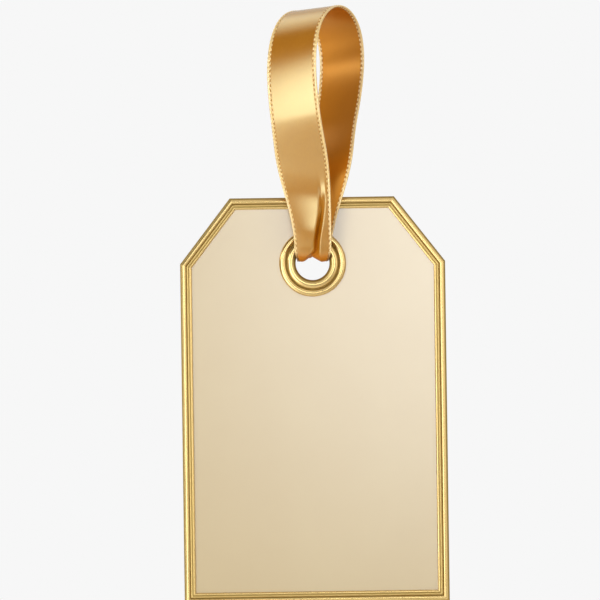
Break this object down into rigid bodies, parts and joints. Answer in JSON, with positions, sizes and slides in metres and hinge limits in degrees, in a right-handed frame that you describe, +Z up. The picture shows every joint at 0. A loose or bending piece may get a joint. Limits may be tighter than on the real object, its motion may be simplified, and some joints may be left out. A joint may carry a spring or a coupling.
{
  "type": "gift tag",
  "caption": "Framed gift tag with clipped top corners, an eyelet and a satin ribbon loop that hangs it and lets it turn, fold and lift.",
  "frame": {"origin": "middle of the ribbon loop's inside top, where a hook bears", "axes": "+Z up along the hanging tag, +X to the right seen from the front, +Y to the back"},
  "size_m": [0.05, 0.0244, 0.1121],
  "materials": {
    "face_paper": "pearl satin",
    "board": "matte",
    "back_paper": "matte",
    "gold_metal": "polished",
    "gold_satin": "satin",
    "gold_edge": "woven metallic"
  },
  "bodies": {
    "loop": {"ribbon_loop": "gold_satin", "loop_edge_far": "gold_edge", "loop_edge_near": "gold_edge"},
    "upper_neck": {"front_leg_upper": "gold_satin", "rear_leg_upper": "gold_satin", "upper_leg_edges": "gold_edge"},
    "lower_neck": {"front_leg_lower": "gold_satin", "rear_leg_lower": "gold_satin", "lower_leg_edges": "gold_edge"},
    "tag": {"face_sheet": "face_paper", "core_board": "board", "back_sheet": "back_paper", "frame": "gold_metal", "eyelet": "gold_metal", "eyelet_washer": "gold_metal", "ribbon_bend": "gold_satin", "ribbon_knot": "gold_satin", "ribbon_tail_left": "gold_satin", "ribbon_tail_right": "gold_satin"}
  },
  "joints": [
    {"name": "ribbon_twist", "type": "hinge", "parent": "loop", "child": "upper_neck", "pos_m": [-0.00125, -0.00093, -0.0309], "axis": [0, 0, 1], "range_deg": [-90, 90]},
    {"name": "ribbon_fold", "type": "hinge", "parent": "upper_neck", "child": "lower_neck", "pos_m": [-0.0018, 0.00122, -0.0347], "axis": [1, 0, 0], "range_deg": [0, 75]},
    {"name": "tag_lift", "type": "hinge", "parent": "lower_neck", "child": "tag", "pos_m": [-0.0018, 0.00153, -0.0445], "axis": [-1, 0, 0], "range_deg": [0, 120], "deforming": ["ribbon_bend"]}
  ]
}
